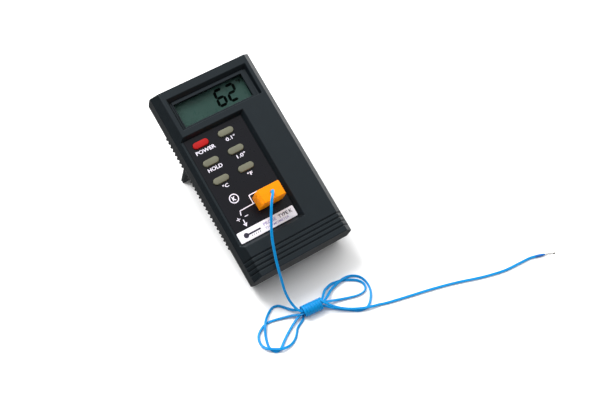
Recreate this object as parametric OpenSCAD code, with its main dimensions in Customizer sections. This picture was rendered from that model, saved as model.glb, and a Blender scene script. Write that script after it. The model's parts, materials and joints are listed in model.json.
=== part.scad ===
// Hand-held digital thermocouple thermometer standing on its tilt stand, with
// its miniature plug and bead probe lead plugged in and laid out in front.
// Frame: +X across the meter, +Y from the user's end to the display end, +Z up
// from the table. Most pieces are drawn flat in the meter's own frame (x across,
// y along from the user's end, z up from the parting plane of the two shells)
// and then tilted on to the stand by on_stand().

/* [Case] */
// Width of the meter across the shells
case_w = 72; // [70:0.5:74]
// Length of the meter
case_l = 135; // [134:0.5:137]
// Height of the front face above the parting plane
front_h = 14.4; // [14:0.2:15]
// Depth of the back below the parting plane
rear_h = 16.6; // [16.2:0.2:17.4]
// Wall thickness of both shells
wall = 2; // [1.8:0.1:2.2]
// Radius of the four upright corners
corner_r = 3; // [2:0.5:4]
// Width of the shadow gap between the shells
split_gap = 0.5; // [0.3:0.1:0.7]
// Spacing of the grip ribs on the sides
grip_pitch = 2.86; // [2.7:0.02:2.9]

/* [Display] */
// Width of the display recess at the face
display_w = 56.6; // [56:0.2:57]
// Height of the display recess at the face
display_h = 22.4; // [22.2:0.2:22.6]
// Depth of the display and keypad recesses
recess_d = 3; // [2.6:0.1:3.2]

/* [Keys] */
// Length of a key
key_w = 10.6; // [10:0.2:11]
// Width of a key
key_d = 4.2; // [3.9:0.1:4.6]
// Distance between the two columns of keys
key_column_pitch = 17.7; // [17:0.1:18]
// Distance between the rows of keys
key_row_pitch = 12.9; // [12.4:0.1:13.2]
// Travel of a key
key_travel = 0.8; // [0.5:0.1:1]

/* [Stand] */
// Angle of the meter when it stands on its stand, in degrees
tilt = 20.5; // [20.5:0.5:20.5]
// Angle between the folded and the open stand, in degrees
stand_open = 78; // [77:0.5:79]
// Thickness of the stand
stand_t = 3; // [2.6:0.1:3]

/* [Probe] */
// Width of the plug across its two blades
plug_w = 16.8; // [16.4:0.1:17.2]
// Thickness of the plug
plug_d = 9.2; // [8.8:0.1:9.6]
// Height of the plug above the keypad panel
plug_h = 16; // [15:0.5:18]
// Distance between the two blades
blade_pitch = 7.9; // [7.9:0.1:7.9]
// Width of the flat two-wire lead
lead_w = 1.7; // [1.6:0.05:1.8]

/* [Hidden] */
$fn = 40;
eps = 0.01;

// Section of the shells
hw = case_w / 2;
rim_z = 7.8;
rim_in = 0.6;
ridge_in = 5.2;
end_in_low = 1.6;
end_in_high = 3.1;
rear_rim_z = 7;
rear_rim_in = 0.8;
rear_in = 3.6;
rear_end_in = 3.5;
grip_y = 28.9;
grip_count = 29;
grip_r = 0.8;
inner_top = front_h - 2.2;
floor_z = front_h - recess_d;
floor_under = floor_z - 2.4;

// Standing position: the rear shell's lower edge and the stand's foot touch z = 0
split_z = rear_h * cos(tilt) - rear_end_in * sin(tilt);
y_front = end_in_low * cos(tilt) - front_h * sin(tilt);
y_back = (case_l - rear_end_in) * cos(tilt) + rear_h * sin(tilt);
shift_y = -(y_front + y_back) / 2;

// Display
display_x = 0.2;
display_y = 104;
display_slope_x = 1.2;
display_slope_low = 0.8;
display_slope_high = 2.6;
window = [-25.2, 105.8, 23.1, 121.9];
rim_up = 0.8;
rim_left = 0.7;
rim_right = 2.4;
rim_low = 1.3;
rim_high = 2.2;
lens_top = floor_z - 2;
lcd_top = lens_top - 1.2;
lcd_t = 2.8;

// Keypad recess and panel
pad_x_low = -31.2;
pad_x_high = 9.8;
pad_y_low = 24.4;
pad_y_high = 98;
pad_slope = 2.2;
pad_slope_high = 1.8;
panel_t = 0.4;
key_x = -22.2;
key_y = 66.4;
key_top = floor_z + 1.3;
flange_top = floor_under - 0.2;
flange_t = 1.2;

// Grooves across the user's end
groove_y = 5.3;
groove_pitch = 2.94;
groove_w = 1;
groove_d = 0.8;
groove_count = 4;

// Circuit board
board_top = 3.6;
board_t = 1.6;
board_bottom = board_top - board_t;
key_bottom = board_top + key_travel + 0.5;
board_y_low = 52;
board_y_high = 131;
case_screw_at = [[-26, 46], [26, 46], [-28.8, 127.2], [28.8, 127.2]];
board_screw_at = [[-27.5, 57], [27.5, 57], [-27.5, 98.6], [27.5, 98.6]];

// Battery bay, cover and stand
battery_y = 6.2;
battery_z = -14.3;
battery_lead_r = 0.6;
red_route = [
    [27.3, 28, -2],
    [28.4, 28.2, -2],
    [30.4, 31, -2],
    [31.4, 36, -2],
    [31.6, 42, -2],
    [31.6, 48, -1.6],
    [31.2, 54, -0.6],
    [30.2, 59, 0.2],
    [29.4, 63, 0.8],
    [29, 66, 1.3]];
black_route = [
    [27.3, 28, -5],
    [28.4, 28.2, -5],
    [30.4, 31, -5],
    [31.4, 36, -5],
    [31.6, 42, -5],
    [31.4, 48, -4.4],
    [30.6, 53, -3],
    [29.4, 57, -1.6],
    [28.2, 60.5, -0.2],
    [27.4, 63, 1.3]];
cover_y_high = 36;
cover_hw = 26;
cover_t = 1.9;
tongue_w = 1.2;
hinge_y = 97;
hinge_z = -rear_h + 0.2 + stand_t / 2;
foot_hw = 31.6;
hinge_hw = 26;
pin_hw = 25.4;
stand_y_low = 60.5;
stand_y_high = 99;
stand_floor = -rear_h + stand_t + 0.5;
lug_x = 20;
lug_w = 5;
pin_r = 1;
pocket_pitch = 10;
pocket_hw = 4.1;
hinge_height = split_z + hinge_y * sin(tilt) + hinge_z * cos(tilt);
foot_lean = tilt + stand_open - 90;
leg_l = hinge_height / cos(foot_lean);

// Probe plug and socket
plug_x = -2.7;
plug_y = 42.6;
shoulder_w = 1.3;
shoulder_h = 3;
blade_t = 0.8;
blade_l = 12;
wide_blade = 3.2;
narrow_blade = 2.4;

// Free lead, in the standing frame: hand-laid routes
lead_r = lead_w / 2;
exit_y = plug_y * cos(tilt) - (floor_z + plug_h) * sin(tilt) + shift_y;
exit_z = plug_y * sin(tilt) + (floor_z + plug_h) * cos(tilt) + split_z;
wrap_at = [-9.5, -89.5, 4];
wrap_turn = -5;
wrap_l = 14;
wrap_r = 4;
drop_route = [
    [plug_x, exit_y, exit_z],
    [plug_x, exit_y - 3 * sin(tilt), exit_z + 3 * cos(tilt)],
    [-3.3, -35.2, 60.3],
    [-5, -38, 61.4],
    [-7.5, -41, 60],
    [-9.7, -44, 57.6],
    [-11.6, -46.8, 54.6],
    [-14.5, -51.5, 49.5],
    [-16.7, -56, 44],
    [-18, -60, 39],
    [-19, -63.5, 34.5],
    [-20, -68, 29],
    [-20.5, -72, 23],
    [-21, -76, 17],
    [-20.5, -80, 11],
    [-19.5, -83.5, 7.5],
    [-18.2, -87, 5.6],
    [-17.2, -88.5, 5.3]];
tail_route = [
    [22, -107, 0.9],
    [26, -108.5, 0.9],
    [32, -110, 0.9],
    [44, -113, 0.9],
    [61, -117, 0.9],
    [77, -121.5, 0.9],
    [93, -127, 0.9],
    [106, -130.5, 0.9],
    [113, -131.5, 0.9],
    [121, -132, 0.9],
    [128, -132.5, 0.9],
    [132, -133.5, 0.9]];
sleeve_from = [132, -133.5, 0.95];
sleeve_to = [138, -135.5, 0.95];
bead_at = [144, -137.5, 0.75];
sleeve_r = 0.95;
bead_r = 0.75;

// ---------- helpers ----------

// Tilts a piece drawn in the meter's frame on to the stand
module on_stand() {
    translate([0, shift_y, split_z])
        rotate([tilt, 0, 0])
            children();
}

// Solid between two corner points
module box(low, high) {
    translate(low)
        cube([high[0] - low[0], high[1] - low[1], high[2] - low[2]]);
}

// Extrudes a section drawn in x and z along y, from y0 to y1
module along_y(y0, y1) {
    translate([0, y1, 0])
        rotate([90, 0, 0])
            linear_extrude(y1 - y0)
                children();
}

// Extrudes a section drawn in y and z along x, from x0 to x1
module along_x(x0, x1) {
    translate([x0, 0, 0])
        rotate([90, 0, 90])
            linear_extrude(x1 - x0)
                children();
}

// Upright round-cornered block
module rounded_block(low, high, r) {
    box([low[0] + r, low[1], low[2]], [high[0] - r, high[1], high[2]]);
    box([low[0], low[1] + r, low[2]], [high[0], high[1] - r, high[2]]);
    for (x = [low[0] + r, high[0] - r])
        for (y = [low[1] + r, high[1] - r])
            translate([x, y, low[2]])
                cylinder(h = high[2] - low[2], r = r);
}

// Pill-shaped block centred on x, y
module pill(x, y, z0, z1, l, w) {
    box([x - l / 2 + w / 2, y - w / 2, z0], [x + l / 2 - w / 2, y + w / 2, z1]);
    for (s = [-1, 1])
        translate([x + s * (l - w) / 2, y, z0])
            cylinder(h = z1 - z0, d = w);
}

// Recess with sloping walls: x and y ranges at the floor, outward slope on each side
module sloped_recess(x0, x1, y0, y1, slopes) {
    top = front_h + 1;
    k = (top - floor_z) / recess_d;
    intersection() {
        along_y(y0 - 6, y1 + 6)
            polygon([[x0, floor_z], [x1, floor_z], [x1 + slopes[1] * k, top], [x0 - slopes[0] * k, top]]);
        along_x(x0 - 20, x1 + 6)
            polygon([[y0, floor_z], [y1, floor_z], [y1 + slopes[3] * k, top], [y0 - slopes[2] * k, top]]);
    }
}

function unit(v) = v / norm(v);

// Point on a smooth curve through four neighbouring route points
function smooth_point(a, b, c, d, t) =
    0.5 * (2 * b + (c - a) * t + (2 * a - 5 * b + 4 * c - d) * t * t
        + (3 * b - a - 3 * c + d) * t * t * t);

// Route with its stretches divided into steps no longer than step
function smooth_route(p, step) = [
    for (i = [0 : len(p) - 2])
        let (n = max(1, round(norm(p[i + 1] - p[i]) / step)))
            for (k = [0 : n - 1])
                smooth_point(p[max(i - 1, 0)], p[i], p[i + 1], p[min(i + 2, len(p) - 1)], k / n),
    p[len(p) - 1]];

// Eight-sided tube along a route; its sides are set out from the upright direction,
// which the route never runs along
module tube(p, r, upright) {
    sides = 8;
    n = len(p);
    rings = [for (i = [0 : n - 1])
        let (
            t = unit(p[min(i + 1, n - 1)] - p[max(i - 1, 0)]),
            side = unit(cross(t, upright)),
            up = cross(side, t))
            for (k = [0 : sides - 1])
                p[i] + r * (cos(360 * k / sides) * side + sin(360 * k / sides) * up)];
    skin = [for (i = [0 : n - 2])
        for (k = [0 : sides - 1])
            let (m = (k + 1) % sides)
                [i * sides + k, i * sides + m, (i + 1) * sides + m, (i + 1) * sides + k]];
    first = [for (k = [0 : sides - 1]) sides - 1 - k];
    last = [for (k = [0 : sides - 1]) (n - 1) * sides + k];
    polyhedron(points = rings, faces = concat([first, last], skin));
}

// Screw along z with its head at the bottom: head from z0, shank up to z1
module screw(x, y, z0, z1, head_r, head_h, shank_r) {
    translate([x, y, z0])
        difference() {
            union() {
                cylinder(h = head_h, r = head_r);
                cylinder(h = z1 - z0, r = shank_r);
            }
            for (a = [0, 90])
                rotate([0, 0, a])
                    box([-head_r * 0.65, -0.25, -eps], [head_r * 0.65, 0.25, head_h * 0.6]);
        }
}

// ---------- shells ----------

module front_outer() {
    intersection() {
        along_y(0, case_l)
            polygon([[-hw, split_gap / 2], [-hw + rim_in, rim_z], [-hw + ridge_in, front_h],
                [hw - ridge_in, front_h], [hw - rim_in, rim_z], [hw, split_gap / 2]]);
        along_x(-hw, hw)
            polygon([[0, split_gap / 2], [end_in_low, front_h],
                [case_l - end_in_high, front_h], [case_l, split_gap / 2]]);
        rounded_block([-hw, 0, 0], [hw, case_l, front_h], corner_r);
    }
}

module front_cavity() {
    under = floor_under;
    slope_w = (ridge_in - rim_in) / (front_h - rim_z);
    x_low = hw - wall;
    x_rim = hw - rim_in - wall;
    x_top = x_rim - (under - rim_z + 0.8) * slope_w;
    along_y(wall + 0.6, case_l - wall - 1)
        polygon([[-x_low, -1], [-x_rim, rim_z - 0.8], [-x_top, under], [x_top, under],
            [x_rim, rim_z - 0.8], [x_low, -1]]);
    // deeper pockets under the plain parts of the face
    box([13.6, 26, under - 1], [28, 98, inner_top]);
    box([-28, wall + 2, under - 1], [28, 20.4, inner_top]);
}

module front_case() {
    color("#2b2f33")
        on_stand()
            difference() {
                union() {
                    difference() {
                        front_outer();
                        front_cavity();
                        front_recesses();
                    }
                    window_rim();
                    for (p = case_screw_at)
                        translate([p[0], p[1], 0.4])
                            cylinder(h = floor_under, r = 2.9);
                    for (p = board_screw_at)
                        translate([p[0], p[1], board_top + 0.05])
                            cylinder(h = floor_under - board_top, r = 2.2);
                }
                front_holes();
                front_grooves();
            }
}

// Raised rim round the display window
module window_rim() {
    box([window[0] - rim_left, window[1] - rim_low, floor_z - 1],
        [window[2] + rim_right, window[3] + rim_high, floor_z + rim_up]);
}

module front_recesses() {
    sloped_recess(display_x - display_w / 2 + display_slope_x, display_x + display_w / 2 - display_slope_x,
        display_y + display_slope_low, display_y + display_h - display_slope_high,
        [display_slope_x, display_slope_x, display_slope_low, display_slope_high]);
    sloped_recess(-hw - 4, pad_x_high, pad_y_low - 0.2, pad_y_high + 0.2,
        [0, pad_slope, pad_slope, pad_slope_high]);
    box([pad_x_low - 0.15, pad_y_low - 0.2, floor_z - panel_t], [pad_x_high, pad_y_high + 0.2, floor_z + 1]);
}

module front_holes() {
    box([window[0], window[1], 0], [window[2], window[3], front_h]);
    // seat for the lens behind the window
    box([window[0] - 1.4, window[1] - 1.2, floor_under - 1], [window[2] + 1.4, window[3] + 1.4, lens_top]);
    for (c = [0, 1])
        for (r = [0 : 2])
            pill(key_x + c * key_column_pitch, key_y + r * key_row_pitch, 0, front_h,
                key_w + 0.5, key_d + 0.5);
    box([plug_x - 7, plug_y - 2.8, 0], [plug_x + 7, plug_y + 2.8, front_h]);
    for (p = case_screw_at)
        translate([p[0], p[1], 0])
            cylinder(h = floor_under - 0.5, r = 1.3);
    for (p = board_screw_at)
        translate([p[0], p[1], 0])
            cylinder(h = floor_under - 0.5, r = 0.95);
}

module front_grooves() {
    for (i = [0 : groove_count - 1])
        along_y(groove_y + i * groove_pitch - groove_w / 2, groove_y + i * groove_pitch + groove_w / 2)
            polygon([[-hw - 1, rim_z], [-hw - 1, front_h + 1], [hw + 1, front_h + 1], [hw + 1, rim_z],
                [hw - rim_in - groove_d * 0.8, rim_z], [hw - ridge_in - groove_d * 0.4, front_h - groove_d],
                [-hw + ridge_in + groove_d * 0.4, front_h - groove_d], [-hw + rim_in + groove_d * 0.8, rim_z]]);
}

module rear_outer() {
    intersection() {
        along_y(0, case_l)
            polygon([[-hw, -split_gap / 2], [-hw + rear_rim_in, -rear_rim_z], [-hw + rear_in, -rear_h],
                [hw - rear_in, -rear_h], [hw - rear_rim_in, -rear_rim_z], [hw, -split_gap / 2]]);
        along_x(-hw, hw)
            polygon([[0, -split_gap / 2], [0.4, -3], [rear_end_in, -rear_h],
                [case_l - rear_end_in, -rear_h], [case_l - 0.4, -3], [case_l, -split_gap / 2]]);
        rounded_block([-hw, 0, -rear_h], [hw, case_l, 0], corner_r);
    }
}

module rear_cavity() {
    intersection() {
        along_y(wall, case_l - wall)
            polygon([[-hw + wall, 1], [-hw + wall + rear_rim_in, -rear_rim_z + 0.6],
                [-hw + wall + rear_in - 0.6, -rear_h + wall], [hw - wall - rear_in + 0.6, -rear_h + wall],
                [hw - wall - rear_rim_in, -rear_rim_z + 0.6], [hw - wall, 1]]);
        along_x(-hw, hw)
            polygon([[wall, 1], [wall + 0.4, -3], [wall + rear_end_in - 0.4, -rear_h + wall],
                [case_l - wall - rear_end_in + 0.4, -rear_h + wall], [case_l - wall - 0.4, -3],
                [case_l - wall, 1]]);
    }
}

module rear_case() {
    color("#33373b")
        on_stand() {
            difference() {
                union() {
                    difference() {
                        rear_outer();
                        rear_cavity();
                    }
                    rear_inner_parts();
                    grip_ribs();
                }
                rear_cuts();
            }
            // lip that closes the shadow gap from inside
            difference() {
                union() {
                    rounded_block([-hw + 1.4, 1.4, -2], [hw - 1.4, case_l - 1.4, -0.8], 1.6);
                    rounded_block([-hw + 2.5, 3.2, -1], [hw - 2.5, case_l - 3.6, 1.6], 1.6);
                }
                rounded_block([-hw + 3.4, 4.1, -3], [hw - 3.4, case_l - 4.5, 2], 0.8);
            }
            stand_stop();
            for (s = [-1, 1])
                hinge_lug(s * lug_x);
        }
}

module rear_inner_parts() {
    intersection() {
        rear_outer();
        union() {
            // floor over the stand recess and the finger scoop
            box([-hw, stand_y_low - 2, -rear_h], [hw, stand_y_high + 2, stand_floor + 2]);
            box([-12, 48, -rear_h], [12, stand_y_low, stand_floor + 2]);
            // floor over the battery cover's track
            box([-cover_hw - 3.4, 0, -rear_h], [cover_hw + 3.4, cover_y_high + 2.4, -rear_h + cover_t + 1.6]);
        }
    }
    // battery bay wall
    box([-28, battery_y + 26.8, -rear_h + 1], [24, battery_y + 28.2, -2]);
    intersection() {
        rear_outer();
        for (p = case_screw_at)
            translate([p[0], p[1], -rear_h + 1])
                cylinder(h = rear_h - 1.1, r = 4);
    }
}

// Ledge that the open stand leans on
module stand_stop() {
    along_x(-hinge_hw + 2, hinge_hw - 2)
        polygon([[hinge_y + 1.27, -rear_h], [stand_y_high + 0.2, -rear_h],
            [stand_y_high + 0.2, stand_floor], [stand_y_high, hinge_z]]);
}

module rear_cuts() {
    box([-hw - 1, stand_y_low, -rear_h - 1], [hw + 1, stand_y_high, stand_floor]);
    // finger scoop below the folded stand
    translate([0, stand_y_low, -rear_h - 1])
        cylinder(h = stand_floor + rear_h + 1, r = 9.5);
    // battery cover track and bay opening
    box([-cover_hw - 0.2, -1, -rear_h - 1], [cover_hw + 0.2, cover_y_high + 0.2, -rear_h + cover_t + 0.1]);
    box([-cover_hw - tongue_w - 0.2, -1, -rear_h + 0.7],
        [cover_hw + tongue_w + 0.2, cover_y_high + 0.2, -rear_h + cover_t + 0.1]);
    box([-24.6, 5.6, -rear_h - 1], [25.2, battery_y + 26.7, battery_z + 4]);
    for (p = case_screw_at) {
        translate([p[0], p[1], -rear_h - 1])
            cylinder(h = 6.4, r = 2.9);
        translate([p[0], p[1], -rear_h - 1])
            cylinder(h = rear_h + 2, r = 1.5);
    }
}

// Upright ribs along both sides that give the fingers a hold
module grip_ribs() {
    for (s = [-1, 1])
        for (i = [0 : grip_count - 1])
            translate([s * (hw - grip_r), grip_y + i * grip_pitch, -rear_rim_z])
                cylinder(h = rear_rim_z - 1, r = grip_r, $fn = 20);
}

// One of the two lugs that hold the stand's pin
module hinge_lug(x) {
    along_x(x - lug_w / 2, x + lug_w / 2)
        difference() {
            union() {
                translate([hinge_y, hinge_z])
                    circle(r = 1.6);
                translate([hinge_y - 1.6, hinge_z])
                    square([3.2, stand_floor - hinge_z + 0.2]);
            }
            translate([hinge_y, hinge_z])
                circle(r = pin_r + 0.02);
        }
}

// ---------- display ----------

module display_lens() {
    color("#c8d2cf", 0.4)
        on_stand()
            box([window[0] - 1.2, window[1] - 1, lens_top - 1.05], [window[2] + 1.2, window[3] + 1.2, lens_top - 0.05]);
}

module lcd_frame() {
    color("#111315")
        on_stand()
            difference() {
                box([-28.6, 102.4, board_top + 0.1], [26.9, 126.4, lcd_top - 0.2]);
                box([-26.3, 103.2, board_top + 1.7], [24.6, 125.4, lcd_top + 1]);
                box([-24.4, 104.2, 0], [22.7, 124.4, lcd_top + 1]);
                // corners that clear the case screws
                for (p = case_screw_at)
                    translate([p[0], p[1], 0])
                        cylinder(h = 12, r = 3.3);
            }
}

module lcd_glass() {
    color("#5f7a70")
        on_stand() {
            box([-26.2, 103.3, lcd_top - lcd_t], [24.5, 125.3, lcd_top - lcd_t / 2]);
            box([-26.2, 104.8, lcd_top - lcd_t / 2], [24.5, 123.8, lcd_top]);
        }
}

module zebra_strips() {
    color("#d98a9a")
        on_stand()
            for (y = [104.3, 122.3])
                box([-23.8, y, board_top + 0.02], [22, y + 1.9, lcd_top - lcd_t - 0.02]);
}

// ---------- keypad ----------

module keypad_panel() {
    color("#17181c")
        on_stand()
            difference() {
                box([pad_x_low, pad_y_low + 0.1, floor_z - panel_t + 0.02],
                    [pad_x_high - 0.2, pad_y_high - 0.1, floor_z]);
                for (c = [0, 1])
                    for (r = [0 : 2])
                        pill(key_x + c * key_column_pitch, key_y + r * key_row_pitch, 0, front_h,
                            key_w + 0.5, key_d + 0.5);
                box([plug_x - 7, plug_y - 2.8, 0], [plug_x + 7, plug_y + 2.8, front_h]);
            }
}

module name_strip() {
    color("#e9e8ea")
        on_stand()
            rounded_block([pad_x_low + 0.2, pad_y_low + 0.3, floor_z + 0.01],
                [pad_x_high - 0.7, pad_y_low + 7.5, floor_z + 0.2], 0.8);
}

module keypad_mat() {
    color("#6d6f6d")
        on_stand()
            difference() {
                union() {
                    box([-30, 61.5, board_top + 0.05], [3.4, 96, board_top + 0.9]);
                    for (c = [0, 1])
                        for (r = [0 : 2])
                            pill(key_x + c * key_column_pitch, key_y + r * key_row_pitch,
                                board_top + 0.05, board_top + 2.4, key_w + 2.6, key_d + 2.6);
                }
                for (c = [0, 1])
                    for (r = [0 : 2])
                        pill(key_x + c * key_column_pitch, key_y + r * key_row_pitch, 0, 12,
                            key_w + 0.6, key_d + 0.6);
            }
}

// One key: cap with an eased rim, flange under the panel floor, foot over the board
module key(column, row, tint) {
    x = key_x + column * key_column_pitch;
    y = key_y + row * key_row_pitch;
    color(tint)
        on_stand() {
            pill(x, y, key_bottom, key_top - 0.4, key_w, key_d);
            pill(x, y, key_top - 0.4, key_top - 0.15, key_w - 0.3, key_d - 0.3);
            pill(x, y, key_top - 0.15, key_top, key_w - 0.9, key_d - 0.9);
            pill(x, y, flange_top - flange_t, flange_top, key_w + 1.8, key_d + 1.8);
        }
}

module power_key() {
    key(0, 2, "#c9252b");
}

module hold_key() {
    key(0, 1, "#8f8d80");
}

module celsius_key() {
    key(0, 0, "#8f8d80");
}

module tenth_degree_key() {
    key(1, 2, "#8f8d80");
}

module one_degree_key() {
    key(1, 1, "#8f8d80");
}

module fahrenheit_key() {
    key(1, 0, "#8f8d80");
}

// ---------- electronics ----------

module circuit_board() {
    color("#2f6b3c")
        on_stand()
            difference() {
                box([-30.6, board_y_low, board_bottom], [30.6, board_y_high, board_top]);
                for (p = board_screw_at)
                    translate([p[0], p[1], 0])
                        cylinder(h = 6, r = 1.2);
                for (p = case_screw_at)
                    translate([p[0], p[1], 0])
                        cylinder(h = 6, r = 4.3);
            }
}

module main_chip() {
    color("#1c1c1e")
        on_stand() {
            box([-7, 84, board_bottom - 2.1], [7, 98, board_bottom - 0.15]);
            // four rows of leads
            for (i = [0 : 10])
                for (s = [-1, 1]) {
                    box([s * 8 - 1.05, 85.2 + i * 1.12, board_bottom - 0.3],
                        [s * 8 + 1.05, 85.6 + i * 1.12, board_bottom - 0.02]);
                    box([-5.8 + i * 1.12, 91 + s * 8 - 1.05, board_bottom - 0.3],
                        [-5.4 + i * 1.12, 91 + s * 8 + 1.05, board_bottom - 0.02]);
                }
        }
}

module capacitors() {
    color("#3a4a7a")
        on_stand()
            for (x = [14, 21])
                translate([x, 60, board_bottom - 8.02])
                    cylinder(h = 8, r = 2.5);
}

module crystal() {
    color("#b8bcc0")
        on_stand()
            pill(-16, 104, board_bottom - 3.52, board_bottom - 0.02, 10.5, 4.4);
}

module trimmers() {
    color("#2c5fa8")
        on_stand()
            for (x = [-20, -10])
                difference() {
                    box([x - 3.2, 70, board_bottom - 5.02], [x + 3.2, 76.6, board_bottom - 0.02]);
                    translate([x, 73.3, board_bottom - 5.1])
                        cylinder(h = 0.6, r = 1.6);
                }
}

// ---------- probe socket ----------

module probe_socket() {
    color("#1b1b1d")
        on_stand()
            difference() {
                union() {
                    box([plug_x - 6.9, plug_y - 2.7, floor_under - 0.1], [plug_x + 6.9, plug_y + 2.7, floor_z - 0.05]);
                    box([plug_x - 8.2, plug_y - 4.3, -2.5], [plug_x + 8.2, plug_y + 4.3, floor_under - 0.1]);
                }
                blade_slot(-1, wide_blade);
                blade_slot(1, narrow_blade);
                // chambers for the spring contacts, open below
                for (s = [-1, 1])
                    box([plug_x + s * blade_pitch / 2 - 2.2, plug_y - 1.4, -3],
                        [plug_x + s * blade_pitch / 2 + 2.2, plug_y + 1.4, 7]);
            }
}

module blade_slot(side, w) {
    x = plug_x + side * blade_pitch / 2;
    box([x - w / 2 - 0.25, plug_y - blade_t / 2 - 0.15, -3],
        [x + w / 2 + 0.25, plug_y + blade_t / 2 + 0.15, floor_z + 1]);
}

// Two folded spring contacts with tails to the board
module socket_contacts() {
    color("#c9a24a")
        on_stand()
            for (s = [-1, 1]) {
                x = plug_x + s * blade_pitch / 2;
                for (side = [-1, 1])
                    box([x - 1.8, plug_y + side * 0.66 - 0.2, -2.6],
                        [x + 1.8, plug_y + side * 0.66 + 0.2, 6.4]);
                box([x - 1.8, plug_y - 0.86, -3], [x + 1.8, board_y_low + 2.6, -2.55]);
                box([x - 1, board_y_low + 2.2, -3], [x + 1, board_y_low + 2.6, board_bottom - 0.02]);
            }
}

// ---------- battery ----------

module battery() {
    color("#8d7434")
        on_stand() {
            rounded_block([-24.2, battery_y, battery_z], [21.4, battery_y + 26.2, battery_z + 17.2], 2);
            translate([21.3, battery_y + 6.8, battery_z + 8.6])
                rotate([0, 90, 0])
                    cylinder(h = 2.9, r = 2.9);
            translate([21.3, battery_y + 19.4, battery_z + 8.6])
                rotate([0, 90, 0])
                    cylinder(h = 2.9, r = 3.9, $fn = 6);
        }
}

module battery_snap() {
    color("#202022")
        on_stand()
            box([24.3, battery_y + 0.8, battery_z + 2.4], [27.2, battery_y + 25.4, battery_z + 14.8]);
}

module battery_lead_red() {
    color("#b92020")
        on_stand()
            tube(smooth_route(red_route, 3), battery_lead_r, [0, 0, 1]);
}

module battery_lead_black() {
    color("#1a1a1a")
        on_stand()
            tube(smooth_route(black_route, 3), battery_lead_r, [0, 0, 1]);
}

module foam_pad() {
    color("#4c4f55")
        on_stand()
            box([-18, 8.4, battery_z + 17.3], [18, 19.8, inner_top - 0.1]);
}

module battery_cover() {
    color("#33373b")
        on_stand()
            difference() {
                union() {
                    box([-cover_hw, rear_end_in + 0.5, -rear_h], [cover_hw, cover_y_high, -rear_h + cover_t]);
                    box([-cover_hw - tongue_w, rear_end_in + 1.5, -rear_h + 0.8],
                        [cover_hw + tongue_w, cover_y_high, -rear_h + cover_t]);
                }
                // thumb grooves and a push arrow
                for (i = [0 : 4])
                    box([-9, 21 + i * 2.2, -rear_h - 1], [9, 22.1 + i * 2.2, -rear_h + 0.6]);
                translate([0, 14, -rear_h - 1])
                    linear_extrude(1.5)
                        polygon([[-4, 3], [4, 3], [0, -3]]);
            }
}

// ---------- stand ----------

// Stand drawn folded in the rear shell, then opened about its pin
module tilt_stand() {
    color("#2b2f33")
        on_stand()
            translate([0, hinge_y, hinge_z])
                rotate([stand_open, 0, 0])
                    difference() {
                        union() {
                            translate([0, 0, -stand_t / 2])
                                linear_extrude(stand_t)
                                    polygon([[-hinge_hw, 0], [-foot_hw, -leg_l - 1], [foot_hw, -leg_l - 1],
                                        [hinge_hw, 0]]);
                            rotate([0, 90, 0])
                                cylinder(h = 2 * hinge_hw, r = stand_t / 2, center = true);
                        }
                        // foot cut level with the table
                        rotate([-stand_open - tilt, 0, 0])
                            box([-foot_hw - 1, -20, -hinge_height - 10], [foot_hw + 1, 20, -hinge_height]);
                        // running bore for the pin
                        rotate([0, 90, 0])
                            cylinder(h = 2 * hinge_hw + 2, r = pin_r + 0.06, center = true);
                        // clearances for the two lugs
                        for (s = [-1, 1])
                            box([s * lug_x - lug_w / 2 - 0.3, -3.2, -4], [s * lug_x + lug_w / 2 + 0.3, 4, 4]);
                        // shallow pockets between the ribs of the inner face
                        for (i = [-2 : 2])
                            box([i * pocket_pitch - pocket_hw, -leg_l + 6, stand_t / 2 - 1],
                                [i * pocket_pitch + pocket_hw, -6, stand_t]);
                    }
}

module stand_pin() {
    color("#c2c5c8")
        on_stand()
            translate([0, hinge_y, hinge_z])
                rotate([0, 90, 0])
                    cylinder(h = 2 * pin_hw, r = pin_r, center = true);
}

// ---------- fasteners ----------

module case_screws() {
    color("#9da1a5")
        on_stand()
            for (p = case_screw_at)
                screw(p[0], p[1], -rear_h + 3.4, floor_under - 1.5, 2.6, 1.9, 1.25);
}

module board_screws() {
    color("#9da1a5")
        on_stand()
            for (p = board_screw_at)
                screw(p[0], p[1], board_bottom - 1.42, floor_under - 1.5, 2, 1.4, 0.9);
}

// ---------- plug ----------

// Section of the plug across its width, with shouldered cable end
module plug_half(y0, y1) {
    z0 = floor_z + 0.3;
    z1 = floor_z + plug_h;
    along_y(y0, y1)
        polygon([[plug_x - plug_w / 2, z0], [plug_x + plug_w / 2, z0],
            [plug_x + plug_w / 2, z1 - shoulder_h], [plug_x + plug_w / 2 - shoulder_w, z1],
            [plug_x - plug_w / 2 + shoulder_w, z1], [plug_x - plug_w / 2, z1 - shoulder_h]]);
}

module plug_hollow() {
    for (s = [-1, 1]) {
        x = plug_x + s * blade_pitch / 2;
        w = s < 0 ? wide_blade : narrow_blade;
        box([x - w / 2 - 0.02, plug_y - blade_t / 2 - 0.02, floor_z - 1],
            [x + w / 2 + 0.02, plug_y + blade_t / 2 + 0.02, floor_z + 7.6]);
        // terminal chamber
        box([x - 2.2, plug_y - blade_t / 2 - 1.6, floor_z + 3], [x + 2.2, plug_y + 2.6, floor_z + 7.6]);
    }
    // lead channel
    translate([plug_x, plug_y, floor_z + 6.5])
        cylinder(h = 12, r = lead_r + 0.05);
    box([plug_x - 5, plug_y - 0.9, floor_z + 6.4], [plug_x + 5, plug_y + 0.9, floor_z + 7.6]);
}

module plug_base() {
    color("#f2a417")
        on_stand()
            difference() {
                plug_half(plug_y - plug_d / 2, plug_y - 0.02);
                plug_hollow();
                translate([plug_x, plug_y + 10, floor_z + 2.6])
                    rotate([90, 0, 0])
                        cylinder(h = 13.4, r = 1);
            }
}

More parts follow.
